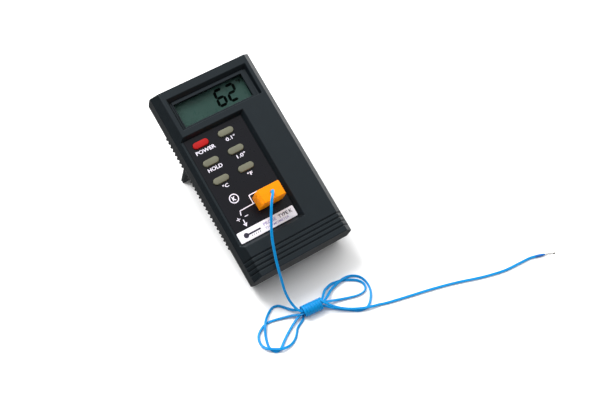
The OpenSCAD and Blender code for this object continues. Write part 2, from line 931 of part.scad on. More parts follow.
module plug_cap() {
    color("#f2a417")
        on_stand()
            difference() {
                plug_half(plug_y + 0.02, plug_y + plug_d / 2);
                plug_hollow();
                translate([plug_x, plug_y + 10, floor_z + 2.6])
                    rotate([90, 0, 0])
                        cylinder(h = 14, r = 1);
                translate([plug_x, plug_y + 10, floor_z + 2.6])
                    rotate([90, 0, 0])
                        cylinder(h = 10 - plug_d / 2 + 1.6, r = 2.05);
            }
}

module plug_blade(side, w, tint) {
    x = plug_x + side * blade_pitch / 2;
    color(tint)
        on_stand()
            box([x - w / 2, plug_y - blade_t / 2, floor_z - blade_l + 0.4],
                [x + w / 2, plug_y + blade_t / 2, floor_z + 7.4]);
}

module plug_blade_wide() {
    plug_blade(-1, wide_blade, "#b9bcbb");
}

module plug_blade_narrow() {
    plug_blade(1, narrow_blade, "#c4c1b4");
}

module plug_terminal_screws() {
    color("#b08b3c")
        on_stand()
            for (s = [-1, 1])
                translate([plug_x + s * blade_pitch / 2, plug_y + blade_t / 2 + 0.02, floor_z + 5.3])
                    rotate([-90, 0, 0])
                        difference() {
                            cylinder(h = 1.4, r = 1.7);
                            box([-2, -0.25, 0.9], [2, 0.25, 2]);
                        }
}

module plug_cap_screw() {
    color("#b9bdc1")
        on_stand()
            translate([plug_x, plug_y + plug_d / 2 - 0.2, floor_z + 2.6])
                rotate([90, 0, 0])
                    difference() {
                        union() {
                            cylinder(h = 1.3, r = 1.9);
                            cylinder(h = 7, r = 0.9);
                        }
                        box([-2, -0.25, -1], [2, 0.25, 0.6]);
                    }
}

// ---------- lead ----------

module lead_drop() {
    color("#1487d4")
        tube(smooth_route(drop_route, 5), lead_r, [1, 0, 0]);
}

// Winding of the lead round its own loops
module lead_wrap() {
    color("#1487d4")
        translate(wrap_at)
            rotate([0, 0, wrap_turn])
                rotate([0, 90, 0])
                    cylinder(h = wrap_l, r = wrap_r, center = true);
}

// Flat outline round the loops on one side of the winding
module loops(circles) {
    wrap_end = wrap_l / 2 + 0.02;
    color("#1487d4")
        linear_extrude(3.4)
            difference() {
                hull()
                    for (c = circles)
                        translate([c[0], c[1]])
                            circle(r = c[2], $fn = 32);
                translate([wrap_at[0], wrap_at[1]])
                    rotate(wrap_turn)
                        translate([-wrap_end, -9])
                            square([2 * wrap_end, 18]);
            }
}

module lead_loops_left() {
    loops([[-14, -88, 3], [-27.5, -79, 5], [-42, -91, 7.5], [-41, -96.5, 7.5], [-31, -97.5, 6]]);
}

module lead_loops_right() {
    loops([[-5, -89.5, 3], [13, -86.5, 6.5], [21, -90.5, 9.5], [19.5, -99.5, 7.5]]);
}

module lead_tail() {
    color("#1487d4")
        tube(smooth_route(tail_route, 4.2), lead_r, [0, 0, 1]);
}

module tip_sleeve() {
    d = sleeve_to - sleeve_from;
    color("#0f6fb8")
        translate(sleeve_from)
            rotate([0, 90, atan2(d[1], d[0])])
                cylinder(h = norm(d), r = sleeve_r);
}

module probe_wires() {
    d = bead_at - sleeve_to;
    color("#c3c0b8")
        for (s = [-1, 1])
            translate(sleeve_to + [0, s * 0.28, -0.1])
                rotate([0, 90, atan2(d[1], d[0])])
                    cylinder(h = norm(d) - bead_r * 0.9, r = 0.16, $fn = 14);
}

module weld_bead() {
    color("#b5b2aa")
        translate(bead_at)
            sphere(r = bead_r);
}

front_case();
rear_case();
display_lens();
lcd_frame();
lcd_glass();
zebra_strips();
keypad_panel();
name_strip();
keypad_mat();
power_key();
hold_key();
celsius_key();
tenth_degree_key();
one_degree_key();
fahrenheit_key();
circuit_board();
main_chip();
capacitors();
crystal();
trimmers();
probe_socket();
socket_contacts();
battery();
battery_snap();
battery_lead_red();
battery_lead_black();
foam_pad();
battery_cover();
tilt_stand();
stand_pin();
case_screws();
board_screws();
plug_base();
plug_cap();
plug_blade_wide();
plug_blade_narrow();
plug_terminal_screws();
plug_cap_screw();
lead_drop();
lead_wrap();
lead_loops_left();
lead_loops_right();
lead_tail();
tip_sleeve();
probe_wires();
weld_bead();
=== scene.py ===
"""Digital probe thermometer on its tilt stand: finished shells, keys, display, plug and lead.

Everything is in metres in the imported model's frame. The meter leans on its stand, so most pieces
are shaped in the meter's own frame (x across, y along from the user's end, z out of the face)
and then set into place with METER.
"""
import json
import math

import bmesh
import bpy
from mathutils import Matrix, Vector
from mathutils.bvhtree import BVHTree


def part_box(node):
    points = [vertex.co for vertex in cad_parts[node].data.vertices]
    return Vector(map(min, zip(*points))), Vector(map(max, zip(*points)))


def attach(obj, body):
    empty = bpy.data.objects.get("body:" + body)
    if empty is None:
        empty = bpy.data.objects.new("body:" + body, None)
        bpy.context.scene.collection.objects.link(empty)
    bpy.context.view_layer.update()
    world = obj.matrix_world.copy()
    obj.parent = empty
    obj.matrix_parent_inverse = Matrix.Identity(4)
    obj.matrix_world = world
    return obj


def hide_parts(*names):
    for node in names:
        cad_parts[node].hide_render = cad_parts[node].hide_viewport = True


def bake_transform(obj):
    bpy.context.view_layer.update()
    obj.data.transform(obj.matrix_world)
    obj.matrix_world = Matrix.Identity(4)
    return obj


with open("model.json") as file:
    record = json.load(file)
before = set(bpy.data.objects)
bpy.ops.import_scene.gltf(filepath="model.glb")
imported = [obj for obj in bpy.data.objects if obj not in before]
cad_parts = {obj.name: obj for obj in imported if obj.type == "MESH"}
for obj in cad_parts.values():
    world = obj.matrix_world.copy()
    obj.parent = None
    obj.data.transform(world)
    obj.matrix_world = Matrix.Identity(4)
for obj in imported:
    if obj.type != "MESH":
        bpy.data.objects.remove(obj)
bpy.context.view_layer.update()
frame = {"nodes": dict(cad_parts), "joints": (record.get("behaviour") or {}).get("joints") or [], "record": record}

MM = 0.001
NODES = frame["nodes"]
JOINTS = {j["name"]: j for j in frame["joints"]}
MOUNTS = {m["name"]: m for m in frame["record"]["mounts"]}
SCENE = bpy.context.scene

# The meter's frame, from the direction the plug pulls out in and the flat on its back
FACE_OUT = Vector(JOINTS["plug_pull"]["axis"]).normalized()
ACROSS = Vector((1, 0, 0))
ALONG = FACE_OUT.cross(ACROSS)
BACK_FLAT = Vector((0, 110, -16.6)) * MM
ORIGIN = Vector(MOUNTS["back_face"]["pos_m"]) - ALONG * BACK_FLAT.y - FACE_OUT * BACK_FLAT.z
METER = Matrix.Translation(ORIGIN) @ Matrix((ACROSS, ALONG, FACE_OUT)).transposed().to_4x4()


# ---------- camera ----------

def add_camera(place, aim, lens):
    """Camera at a place, looking at the aim."""
    data = bpy.data.cameras.new("camera")
    data.lens = lens
    data.sensor_width = 36
    data.clip_start = 0.01
    data.clip_end = 20
    camera = bpy.data.objects.new("camera", data)
    camera.location = place
    camera.rotation_euler = (Vector(aim) - Vector(place)).to_track_quat("-Z", "Y").to_euler()
    SCENE.collection.objects.link(camera)
    SCENE.camera = camera


# solved from the case's own corners and edges in the photo
add_camera(place=(-0.16686, -0.32533, 0.55510), aim=(0.02786, -0.01618, 0), lens=60)


# ---------- helpers ----------

def span(node):
    """Lowest and highest corner of a CAD node in the meter's frame."""
    to_meter = METER.inverted()
    points = [to_meter @ v.co for v in NODES[node].data.vertices]
    low = Vector(min(p[k] for p in points) for k in range(3))
    high = Vector(max(p[k] for p in points) for k in range(3))
    return low, high


def link(name, mesh, material, body=None, replaces=()):
    """Puts a finished mesh into the scene as a piece that rides on a body."""
    mesh.materials.clear()
    mesh.materials.append(material)
    piece = bpy.data.objects.new(name, mesh)
    SCENE.collection.objects.link(piece)
    if body:
        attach(piece, body)
    if replaces:
        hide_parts(*replaces)
    return piece


def to_mesh(bm, name, place=METER, smooth_angle=35, flat_area=None):
    """Turns a bmesh into a mesh, set in place, with edges sharper than smooth_angle kept crisp and,
    if wanted, faces larger than flat_area shaded flat."""
    bmesh.ops.recalc_face_normals(bm, faces=bm.faces)
    bm.transform(place)
    for face in bm.faces:
        face.smooth = flat_area is None or face.calc_area() < flat_area
    for edge in bm.edges:
        edge.smooth = len(edge.link_faces) == 2 and edge.calc_face_angle(0) < math.radians(smooth_angle)
    mesh = bpy.data.meshes.new(name)
    bm.to_mesh(mesh)
    bm.free()
    return mesh


def loft(bm, rings):
    """Skins rings of equal length, each a closed outline, and closes both ends."""
    rows = [[bm.verts.new(p) for p in ring] for ring in rings]
    count = len(rows[0])
    for lower, upper in zip(rows, rows[1:]):
        for k in range(count):
            m = (k + 1) % count
            bm.faces.new((lower[k], lower[m], upper[m], upper[k]))
    bm.faces.new(reversed(rows[0]))
    bm.faces.new(rows[-1])


def round_rect(low, high, r, steps=6):
    """Outline of a rectangle with rounded corners, anticlockwise."""
    corners = [(high[0] - r, high[1] - r, 0), (low[0] + r, high[1] - r, 90),
               (low[0] + r, low[1] + r, 180), (high[0] - r, low[1] + r, 270)]
    outline = []
    for x, y, start in corners:
        for k in range(steps + 1):
            a = math.radians(start + 90 * k / steps)
            outline.append((x + r * math.cos(a), y + r * math.sin(a)))
    return outline


def eased_plate(bm, low, high, r, z0, z1, ease, crown=0.0, steps=6, rings=4):
    """Plate on a rounded-rectangle outline with an eased top rim and, if wanted, a crowned top."""
    layers = [(0.0, z0)]
    for k in range(rings + 1):
        a = math.radians(90 * k / rings)
        layers.append((ease * (1 - math.cos(a)), z1 - ease + ease * math.sin(a)))
    half = min(high[0] - low[0], high[1] - low[1]) / 2
    inner = half - ease
    crown_rings = 5 if crown else 0
    for k in range(1, crown_rings):
        share = k / crown_rings
        layers.append((ease + inner * share, z1 + crown * (1 - (1 - share) ** 2)))
    outlines = []
    for inset, z in layers:
        corner = max(r - inset, 0.02 * MM)
        lo = (low[0] + inset, low[1] + inset)
        hi = (high[0] - inset, high[1] - inset)
        outlines.append([Vector((x, y, z)) for x, y in round_rect(lo, hi, corner, steps)])
    loft(bm, outlines)


# ---------- materials ----------

def linear(code):
    """Linear colour from a #rrggbb code."""
    out = []
    for k in (1, 3, 5):
        c = int(code[k:k + 2], 16) / 255
        out.append(c / 12.92 if c <= 0.04045 else ((c + 0.055) / 1.055) ** 2.4)
    return (*out, 1)


class Finish:
    """A Principled material with a few procedural layers on it, all in object coordinates."""

    def __init__(self, name, **sockets):
        self.material = bpy.data.materials.new(name)
        self.material.use_nodes = True
        self.nodes = self.material.node_tree.nodes
        self.links = self.material.node_tree.links
        self.shader = self.nodes["Principled BSDF"]
        for key, value in sockets.items():
            self.shader.inputs[key.replace("_", " ")].default_value = value
        self.coordinates = self.nodes.new("ShaderNodeTexCoord").outputs["Object"]

    def noise(self, size, detail=3):
        """Noise whose features are about size across."""
        texture = self.nodes.new("ShaderNodeTexNoise")
        texture.inputs["Scale"].default_value = 1 / size
        texture.inputs["Detail"].default_value = detail
        self.links.new(self.coordinates, texture.inputs["Vector"])
        return texture.outputs["Fac"]

    def ramp(self, source, stops):
        """Colour ramp between two (position, colour) stops."""
        ramp = self.nodes.new("ShaderNodeValToRGB")
        for element, (position, colour) in zip(ramp.color_ramp.elements, stops):
            element.position = position
            element.color = colour
        self.links.new(source, ramp.inputs["Fac"])
        return ramp.outputs["Color"]

    def remap(self, source, low, high):
        """Value between low and high as the source goes over the middle of its range."""
        remap = self.nodes.new("ShaderNodeMapRange")
        remap.inputs["From Min"].default_value = 0.3
        remap.inputs["From Max"].default_value = 0.7
        remap.inputs["To Min"].default_value = low
        remap.inputs["To Max"].default_value = high
        self.links.new(source, remap.inputs["Value"])
        return remap.outputs["Result"]

    def mottle(self, colour, depth, size):
        """Base colour that wavers a little over the surface."""
        dark = (*[c * (1 - depth) for c in colour[:3]], 1)
        light = (*[min(1, c * (1 + depth)) for c in colour[:3]], 1)
        waver = self.ramp(self.noise(size), [(0.3, dark), (0.7, light)])
        self.links.new(waver, self.shader.inputs["Base Color"])
        return self

    def rough(self, low, high, size):
        """Roughness that wavers between low and high."""
        self.links.new(self.remap(self.noise(size), low, high), self.shader.inputs["Roughness"])
        return self

    def grain(self, size, height):
        """Fine surface relief, height in metres."""
        bump = self.nodes.new("ShaderNodeBump")
        bump.inputs["Strength"].default_value = 1
        bump.inputs["Distance"].default_value = height
        self.links.new(self.noise(size, 2), bump.inputs["Height"])
        self.links.new(bump.outputs["Normal"], self.shader.inputs["Normal"])
        return self


def plastic(name, code, rough=(0.4, 0.5), grain_size=0.25 * MM, grain_height=0.006 * MM, depth=0.08,
            **sockets):
    """Moulded plastic."""
    finish = Finish(name, **sockets)
    finish.mottle(linear(code), depth, 7 * MM)
    finish.rough(*rough, 3 * MM)
    finish.grain(grain_size, grain_height)
    return finish.material


def metal(name, code):
    """Metal with a light satin finish."""
    finish = Finish(name, Metallic=1.0)
    finish.mottle(linear(code), 0.08, 2 * MM)
    finish.rough(0.25, 0.4, 1 * MM)
    finish.grain(0.15 * MM, 0.003 * MM)
    return finish.material


def case_plastic(name):
    """Near-black shell plastic with a low, slightly bluish sheen."""
    return plastic(name, "#0e1418", rough=(0.34, 0.42), grain_height=0.008 * MM, Specular_IOR_Level=0.25,
                   Specular_Tint=(0.8, 0.92, 1, 1))


CASE = case_plastic("case_plastic")
CASE_REAR = case_plastic("rear_case_plastic")
BLACK = plastic("black_plastic", "#0c0d0f", rough=(0.35, 0.5))
PANEL = plastic("panel_film", "#0b0c13", rough=(0.26, 0.34), grain_size=0.12 * MM, grain_height=0.003 * MM,
                Specular_IOR_Level=0.15)
INK_WHITE = plastic("white_ink", "#efeaf8", rough=(0.5, 0.6), grain_height=0.002 * MM, Specular_IOR_Level=0.2)
INK_DARK = plastic("violet_ink", "#17122e", rough=(0.5, 0.6), grain_height=0.002 * MM)
INK_PALE = plastic("pale_violet_ink", "#9a8fc0", rough=(0.5, 0.6), grain_height=0.002 * MM)
STRIP = plastic("strip_film", "#eeebf2", rough=(0.3, 0.4), grain_height=0.002 * MM, depth=0.03)
KEY_RED = plastic("red_key", "#a60a0a", rough=(0.45, 0.55), grain_height=0.008 * MM, Specular_IOR_Level=0.2)
KEY_GREY = plastic("grey_key", "#6a6a59", rough=(0.45, 0.55), grain_height=0.01 * MM, Specular_IOR_Level=0.3)
PLUG = plastic("plug_plastic", "#fb9000", rough=(0.4, 0.5), grain_height=0.004 * MM, depth=0.04,
               Specular_IOR_Level=0.1)
JACKET = plastic("lead_jacket", "#008dd2", rough=(0.26, 0.34), grain_size=0.6 * MM, grain_height=0.004 * MM,
                 depth=0.05, Specular_IOR_Level=0.25)
SLEEVE = plastic("sleeve", "#0a66b8", rough=(0.35, 0.5), grain_height=0.004 * MM)
BOARD = plastic("board", "#1f5a2c", rough=(0.3, 0.45))
CHIP = plastic("chip", "#151516", rough=(0.5, 0.6))
CAPACITOR = plastic("capacitor_sleeve", "#2b3a6a", rough=(0.25, 0.35))
TRIMMER = plastic("trimmer", "#2558a0", rough=(0.4, 0.5))
BATTERY = plastic("battery_jacket", "#5c4a1e", rough=(0.25, 0.35))
FOAM = plastic("foam", "#3a3d42", rough=(0.85, 0.95), grain_size=0.5 * MM, grain_height=0.2 * MM, depth=0.3)
RUBBER = plastic("mat_rubber", "#6d6f6d", rough=(0.7, 0.8))
ZEBRA = plastic("contact_rubber", "#c47a88", rough=(0.6, 0.7))
RED_WIRE = plastic("red_insulation", "#a81818", rough=(0.35, 0.45))
BLACK_WIRE = plastic("black_insulation", "#141414", rough=(0.35, 0.45))
STEEL = metal("steel", "#a9adb1")
BRASS = metal("brass", "#b08b3c")
CONTACT = metal("contact_metal", "#c9a24a")
BLADE = metal("blade_metal", "#c4c1b4")
CAN = metal("can", "#b8bcc0")
BARE = metal("bare_wire", "#c3c0b8")


def lens_material():
    """Clear window: a faint dark film, with no gloss of its own to veil the display."""
    finish = Finish("window", Alpha=0.06, Specular_IOR_Level=0)
    finish.mottle(linear("#020303"), 0.03, 5 * MM)
    finish.rough(0.04, 0.09, 5 * MM)
    return finish.material


def lcd_material():
    """Grey-green reflective display."""
    finish = Finish("display_glass", Specular_IOR_Level=0.1)
    finish.mottle(linear("#36504a"), 0.07, 16 * MM)
    finish.rough(0.25, 0.35, 4 * MM)
    finish.grain(0.08 * MM, 0.001 * MM)
    return finish.material


LENS = lens_material()
LCD = lcd_material()
SEGMENT = plastic("display_segment", "#020403", rough=(0.3, 0.4), grain_height=0.001 * MM,
                  Specular_IOR_Level=0)


# ---------- lead ----------
# Routes in the imported model's frame, in metres: points chosen along the lead in the photo,
# set on the table and then moved where it bends or crosses itself. The drop and the free
# end follow the CAD model's tubes; its loops and winding are plain solids without a route.

WIRE_R = 0.475 * MM
WIRE_GAP = 0.375 * MM
PLUG_MIDDLE = (span("plug_base")[0] + span("plug_cap")[1]) / 2
EXIT = METER @ Vector((PLUG_MIDDLE.x, PLUG_MIDDLE.y, span("plug_cap")[1].z))
WRAP_AT = Vector((-0.0095, -0.0895, 0.0040))
WRAP_AXIS = Vector((math.cos(math.radians(-5)), math.sin(math.radians(-5)), 0))
WRAP_SIDE = Vector((-WRAP_AXIS.y, WRAP_AXIS.x, 0))
WRAP_R = 3.45 * MM
WRAP_TURNS = 7.5
WRAP_HALF = 6.55 * MM
WRAP_START = -100

DROP = [
    (-0.0033, -0.0352, 0.0603), (-0.0050, -0.0380, 0.0614), (-0.0075, -0.0410, 0.0600),
    (-0.0097, -0.0440, 0.0576), (-0.0116, -0.0468, 0.0546), (-0.0145, -0.0515, 0.0495),
    (-0.0167, -0.0560, 0.0440), (-0.0180, -0.0600, 0.0390), (-0.0190, -0.0635, 0.0345),
    (-0.0200, -0.0680, 0.0290), (-0.0205, -0.0720, 0.0230), (-0.0210, -0.0760, 0.0170),
    (-0.0205, -0.0800, 0.0110), (-0.0195, -0.0835, 0.0075), (-0.0182, -0.0870, 0.0056)]
RIGHT_OUTER = [
    (0.0024, -0.0880, 0.0035), (0.0074, -0.0846, 0.0018), (0.0123, -0.0830, 0.0018),
    (0.0166, -0.0822, 0.0022), (0.0195, -0.0819, 0.0019), (0.0230, -0.0820, 0.0011),
    (0.0265, -0.0837, 0.0009), (0.0290, -0.0868, 0.0009), (0.0300, -0.0911, 0.0009),
    (0.0294, -0.0959, 0.0009), (0.0273, -0.1001, 0.0009), (0.0245, -0.1035, 0.0008),
    (0.0216, -0.1056, 0.0006), (0.0185, -0.1062, 0.0006), (0.0147, -0.1051, 0.0006),
    (0.0109, -0.1023, 0.0006), (0.0072, -0.0993, 0.0006), (0.0036, -0.0963, 0.0008),
    (0.0004, -0.0937, 0.0014)]
LEFT_NEAR = [
    (-0.0179, -0.0894, 0.0026), (-0.0215, -0.0903, 0.0016), (-0.0263, -0.0927, 0.0010),
    (-0.0321, -0.0962, 0.0009), (-0.0371, -0.0998, 0.0008), (-0.0392, -0.1013, 0.0006),
    (-0.0410, -0.1020, 0.0006), (-0.0427, -0.1017, 0.0006), (-0.0440, -0.1006, 0.0006),
    (-0.0447, -0.0989, 0.0006), (-0.0450, -0.0959, 0.0006), (-0.0436, -0.0909, 0.0009),
    (-0.0419, -0.0871, 0.0016), (-0.0399, -0.0838, 0.0022), (-0.0374, -0.0807, 0.0019),
    (-0.0339, -0.0776, 0.0012), (-0.0300, -0.0753, 0.0009), (-0.0271, -0.0754, 0.0009),
    (-0.0251, -0.0765, 0.0009), (-0.0235, -0.0786, 0.0010), (-0.0211, -0.0821, 0.0015),
    (-0.0193, -0.0843, 0.0022), (-0.0178, -0.0862, 0.0035)]
RIGHT_INNER = [
    (-0.0004, -0.0874, 0.0046), (0.0020, -0.0848, 0.0035), (0.0051, -0.0823, 0.0020),
    (0.0099, -0.0807, 0.0010), (0.0136, -0.0810, 0.0007), (0.0170, -0.0817, 0.0006),
    (0.0200, -0.0830, 0.0006), (0.0240, -0.0856, 0.0009), (0.0268, -0.0884, 0.0009),
    (0.0279, -0.0912, 0.0009), (0.0276, -0.0936, 0.0009), (0.0265, -0.0952, 0.0009),
    (0.0243, -0.0961, 0.0009), (0.0201, -0.0960, 0.0009), (0.0153, -0.0947, 0.0009),
    (0.0095, -0.0929, 0.0012), (0.0047, -0.0915, 0.0020), (0.0010, -0.0906, 0.0031)]
LEFT_FAR = [
    (-0.0190, -0.0889, 0.0030), (-0.0224, -0.0865, 0.0016), (-0.0279, -0.0845, 0.0009),
    (-0.0335, -0.0829, 0.0007), (-0.0372, -0.0824, 0.0006), (-0.0405, -0.0830, 0.0006),
    (-0.0439, -0.0847, 0.0009), (-0.0466, -0.0870, 0.0009), (-0.0480, -0.0901, 0.0009),
    (-0.0484, -0.0937, 0.0012), (-0.0475, -0.0965, 0.0018), (-0.0461, -0.0984, 0.0022),
    (-0.0430, -0.1003, 0.0019), (-0.0401, -0.1022, 0.0022), (-0.0374, -0.1029, 0.0018),
    (-0.0332, -0.1027, 0.0010), (-0.0293, -0.1011, 0.0009), (-0.0264, -0.0985, 0.0009),
    (-0.0239, -0.0956, 0.0009), (-0.0212, -0.0939, 0.0008), (-0.0187, -0.0927, 0.0006),
    (-0.0170, -0.0913, 0.0006)]
TAIL = [
    (-0.0026, -0.0908, 0.0074), (-0.0018, -0.0921, 0.0070), (-0.0004, -0.0936, 0.0060),
    (0.0015, -0.0953, 0.0046), (0.0040, -0.0973, 0.0033), (0.0070, -0.0995, 0.0024),
    (0.0109, -0.1022, 0.0021), (0.0150, -0.1045, 0.0021), (0.0194, -0.1065, 0.0020),
    (0.0243, -0.1078, 0.0014), (0.0280, -0.1086, 0.0009), (0.0320, -0.1100, 0.0009),
    (0.0440, -0.1130, 0.0009), (0.0610, -0.1170, 0.0009), (0.0770, -0.1215, 0.0009),
    (0.0930, -0.1270, 0.0009), (0.1060, -0.1305, 0.0009), (0.1130, -0.1315, 0.0009),
    (0.1210, -0.1320, 0.0009), (0.1280, -0.1325, 0.0009), (0.1320, -0.1335, 0.0009)]
# Places where the lead crosses itself on the table, where it lies flat
CROSSINGS = [(0.0165, -0.0818), (0.0203, -0.1058), (-0.0390, -0.0827), (-0.0449, -0.0988),
             (-0.0396, -0.1017), (0.0090, -0.1010), (0.0020, -0.0950)]


def in_wrap(along, side, up):
    """Point in the winding, from its middle: along its axis, to its side and up."""
    return WRAP_AT + WRAP_AXIS * along + WRAP_SIDE * side + Vector((0, 0, up))


def through_wrap(ends):
    """Straight run through the winding between two (along, side, up) places, in millimetres."""
    (a0, s0, u0), (a1, s1, u1) = ends
    shares = [0, 0.25, 0.5, 0.75, 1]
    return [in_wrap((a0 + (a1 - a0) * k) * MM, (s0 + (s1 - s0) * k) * MM, (u0 + (u1 - u0) * k) * MM)
            for k in shares]


def winding():
    """The lead's turns round the strands, 16 points to a turn."""
    count = int(16 * WRAP_TURNS)
    points = []
    for k in range(count + 1):
        a = math.radians(WRAP_START + 360 * WRAP_TURNS * k / count)
        along = -WRAP_HALF + 2 * WRAP_HALF * k / count
        points.append(in_wrap(along, WRAP_R * math.cos(a), WRAP_R * math.sin(a)))
    return points


def whole_route():
    """Every control point of the lead from the plug to its bare end, and the places among them
    where the winding starts and ends."""
    start = [EXIT - FACE_OUT * 3 * MM, EXIT, EXIT + FACE_OUT * 3.0 * MM]
    before = start + [Vector(p) for p in DROP]
    before += through_wrap([(-6.5, -0.2, 0.95), (6.5, -0.5, 0.95)])
    before += [Vector(p) for p in RIGHT_OUTER]
    before += through_wrap([(6.5, -1.3, -1.05), (-6.5, 0.2, -1.1)])
    before += [Vector(p) for p in LEFT_NEAR]
    before += through_wrap([(-6.5, 1.3, 0.75), (6.5, 1.4, 0.85)])
    before += [Vector(p) for p in RIGHT_INNER]
    before += through_wrap([(6.5, 0.4, -0.1), (-6.5, -1.1, -0.1)])
    before += [Vector(p) for p in LEFT_FAR]
    turns = winding()
    after = [Vector(p) for p in TAIL]
    return before + turns + after, len(before), len(before) + len(turns)


def smooth_through(points, step):
    """Even points on a smooth curve through the given ones, and each one's place among them."""
    fine, places = [], []
    for i in range(len(points) - 1):
        a, b = points[max(i - 1, 0)], points[i]
        c, d = points[i + 1], points[min(i + 2, len(points) - 1)]
        count = max(1, round((c - b).length / step))
        for k in range(count):
            t = k / count
            fine.append(0.5 * (2 * b + (c - a) * t + (2 * a - 5 * b + 4 * c - d) * t * t
                               + (3 * b - a - 3 * c + d) * t ** 3))
            places.append(i + t)
    return fine + [points[-1]], places + [len(points) - 1]


def eased(values, reach, rounds=2):
    """Running mean over reach neighbours each way, its two ends kept."""
    for _ in range(rounds):
        last = len(values) - 1
        out = []
        for i in range(last + 1):
            r = min(reach, i, last - i)
            near = values[i - r:i + r + 1]
            out.append(sum(near[1:], near[0]) / len(near))
        values = out
    return values


def lead_section():
    """Outline of the two-wire lead: two round wires that run into each other."""
    waist = math.degrees(math.acos(-WIRE_GAP / WIRE_R))
    outline = []
    for side in (0, 180):
        for k in range(9):
            a = math.radians(side - waist + 2 * waist * (k + 0.5) / 9)
            centre = WIRE_GAP if side == 0 else -WIRE_GAP
            outline.append((centre + WIRE_R * math.cos(a), WIRE_R * math.sin(a)))
        a = math.radians(side + waist)
        outline.append((0.0, WIRE_R * math.sin(a)))
    return outline


def share_of(value):
    """The value, held between 0 and 1."""
    return min(1, max(0, value))


def lead_frames(line, places, first_turn, last_turn):
    """The lead's own direction and its wide direction at each point. It lies flat at a crossing
    and where it is raised, and tips on edge in the bends between."""
    flat_within, flat_above, on_edge, sharp_bend = 3.5 * MM, 3.5 * MM, math.radians(62), 0.45
    count = len(line)
    tangents = [(line[min(i + 1, count - 1)] - line[max(i - 1, 0)]).normalized() for i in range(count)]
    step = 5
    bends = []
    for i in range(count):
        turn = tangents[min(i + step, count - 1)].xy.angle(tangents[max(i - step, 0)].xy, 0)
        away = min((line[i].xy - Vector(c)).length for c in CROSSINGS)
        clear = share_of((away - flat_within) / (4 * MM))
        low = share_of((flat_above - line[i].z) / (2 * MM))
        bends.append(share_of(turn / sharp_bend) * clear * low * on_edge)
    bends = eased(bends, 8)
    wide, previous = [], ACROSS
    for i, t in enumerate(tangents):
        level = Vector((-t.y, t.x, 0)).normalized()
        upright = t.cross(level)
        desired = level * math.cos(bends[i]) + upright * math.sin(bends[i])
        if first_turn - 0.5 <= places[i] <= last_turn - 0.5:
            desired = WRAP_AXIS.copy()
        if desired.dot(previous) < 0:
            desired = -desired
        desired = (desired - t * desired.dot(t)).normalized()
        wide.append(desired)
        previous = desired
    wide = eased(wide, 3)
    return tangents, [(w - t * w.dot(t)).normalized() for w, t in zip(wide, tangents)]


def build_lead():
    """The two-wire lead on its whole route, and the line it follows."""
    points, first_turn, last_turn = whole_route()
    line, places = smooth_through(points, 0.8 * MM)
    line = eased(line, 1, 1)
    tangents, wide = lead_frames(line, places, first_turn, last_turn)
    for p, w in zip(line, wide):
        p.z = max(p.z, WIRE_GAP * abs(w.z) + WIRE_R + 0.01 * MM)
    section = lead_section()
    bm = bmesh.new()
    rings = [[p + w * x + t.cross(w) * y for x, y in section] for p, t, w in zip(line, tangents, wide)]
    loft(bm, rings)
    mesh = to_mesh(bm, "probe_lead", Matrix.Identity(4), 80)
    lead = link("probe_lead", mesh, JACKET,
                replaces=("lead_drop", "lead_wrap", "lead_loops_left", "lead_loops_right", "lead_tail"))
    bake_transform(lead)
    return lead, line


lead, lead_line = build_lead()


def circle_round(centre, side, r, count):
    """Points of an upright circle about centre, in the plane of side and up."""
    angles = [math.tau * k / count for k in range(count)]
    return [centre + (side * math.cos(a) + Vector((0, 0, math.sin(a)))) * r for a in angles]


def build_tip():
    """Sleeve over the lead's end, its two bare wires and the bead they are welded into."""
    low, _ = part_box("tip_sleeve")
    bead = sum(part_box("weld_bead"), Vector()) / 2
    wires_low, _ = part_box("probe_wires")
    start = Vector((low.x + 0.3 * MM, lead_line[-1].y, 0.95 * MM))
    end = Vector((wires_low.x + 0.1 * MM, low.y + 0.95 * MM, 0.9 * MM))
    along = (end - start).normalized()
    side = Vector((-along.y, along.x, 0))
    length = (end - start).length
    profile = [(0, 0.80), (0.02, 0.93), (0.1, 0.95), (0.45, 0.93), (0.75, 0.78), (0.95, 0.66), (1, 0.55)]
    bm = bmesh.new()
    loft(bm, [circle_round(start + along * length * share, side, r * MM, 20) for share, r in profile])
    sleeve = link("lead_tip_sleeve", to_mesh(bm, "lead_tip_sleeve", Matrix.Identity(4)), SLEEVE, "meter",
                  ("tip_sleeve",))
    # two wires that twist once round each other on their way to the bead
    bm = bmesh.new()
    wire_r = 0.17 * MM
    reach = bead - end
    for phase in (0, 180):
        rings = []
        for k in range(33):
            share = k / 32
            spread = 0.30 * MM * max(0, math.cos(math.pi / 2 * share)) ** 0.5 + 0.02 * MM
            a = math.radians(phase + 360 * share)
            centre = end + reach * share + side * spread * math.cos(a) + Vector((0, 0, spread * math.sin(a)))
            rings.append(circle_round(centre, side, wire_r, 10))
        loft(bm, rings)
    wires = link("bare_wires", to_mesh(bm, "bare_wires", Matrix.Identity(4)), BARE, "meter",
                 ("probe_wires",))
    bm = bmesh.new()
    bmesh.ops.create_icosphere(bm, subdivisions=4, radius=0.72 * MM)
    for v in bm.verts:
        n = v.co.normalized()
        v.co += n * 0.05 * MM * (math.sin(5 * n.x + 2 * n.y) + math.cos(4 * n.z - 3 * n.y))
        v.co.x *= 1.12
    bm.transform(Matrix.Translation(bead))
    tip = link("measuring_bead", to_mesh(bm, "measuring_bead", Matrix.Identity(4)), BARE, "meter",
               ("weld_bead",))
    return [sleeve, wires, tip]


lead_tip = build_tip()


# ---------- shells and other moulded parts, finished from their CAD shapes ----------

WELD = 0.001 * MM
ON_PLANE = 0.1 * MM
SHORTEST_EDGE = 0.15 * MM
FLAT_AREA = 8 * MM * MM


